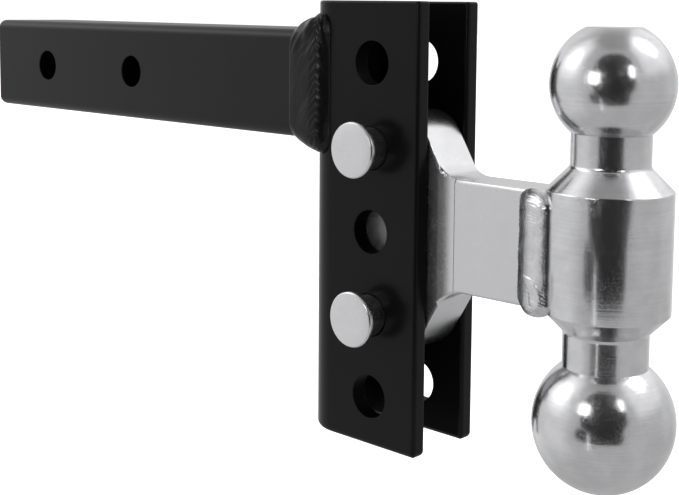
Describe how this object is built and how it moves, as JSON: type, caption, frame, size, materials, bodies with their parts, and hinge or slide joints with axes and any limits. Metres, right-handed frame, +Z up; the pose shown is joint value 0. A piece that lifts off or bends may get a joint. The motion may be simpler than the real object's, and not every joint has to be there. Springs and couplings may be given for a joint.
{
  "type": "trailer hitch with ball",
  "caption": "Adjustable drop hitch: square shank, tall drilled channel, pinned ball mount and a turned post with a small ball above and a large ball below.",
  "frame": {"origin": "middle of the flat rear end of the shank, the end that goes into the vehicle's receiver", "axes": "+X along the shank toward the balls, +Y sideways (pin heads are on the -Y side), +Z up along the ball post"},
  "size_m": [0.4479, 0.0649, 0.2032],
  "materials": {
    "shank_black": "satin black powder coat",
    "channel_black": "satin black powder coat",
    "weld_black": "satin black powder coat over a rippled bead",
    "bracket_metal": "milled neck, fine blasted slider",
    "post_metal": "turned, bright, with fine tool rings",
    "neck_weld_metal": "bare rippled weld",
    "pin_steel": "fine brushed, plated",
    "clip_steel": "plated spring wire"
  },
  "bodies": {
    "hitch": {"shank": "shank_black", "shank_weld": "weld_black", "channel": "channel_black", "ball_mount_bracket": "bracket_metal", "ball_post": "post_metal", "near_neck_weld": "neck_weld_metal", "far_neck_weld": "neck_weld_metal"},
    "upper_pin": {"upper_pin": "pin_steel"},
    "lower_pin": {"lower_pin": "pin_steel"},
    "upper_clip": {"upper_clip": "clip_steel"},
    "lower_clip": {"lower_clip": "clip_steel"}
  },
  "joints": [
    {"name": "upper_pin_play", "type": "slide", "parent": "hitch", "child": "upper_pin", "axis": [0, 1, 0], "range_m": [-0.0014, 0.0102]},
    {"name": "lower_pin_play", "type": "slide", "parent": "hitch", "child": "lower_pin", "axis": [0, 1, 0], "range_m": [-0.0014, 0.0102]},
    {"name": "upper_clip_pull", "type": "slide", "parent": "upper_pin", "child": "upper_clip", "axis": [0, 0, 1], "range_m": [0, 0.026]},
    {"name": "lower_clip_pull", "type": "slide", "parent": "lower_pin", "child": "lower_clip", "axis": [0, 0, 1], "range_m": [0, 0.026]}
  ]
}
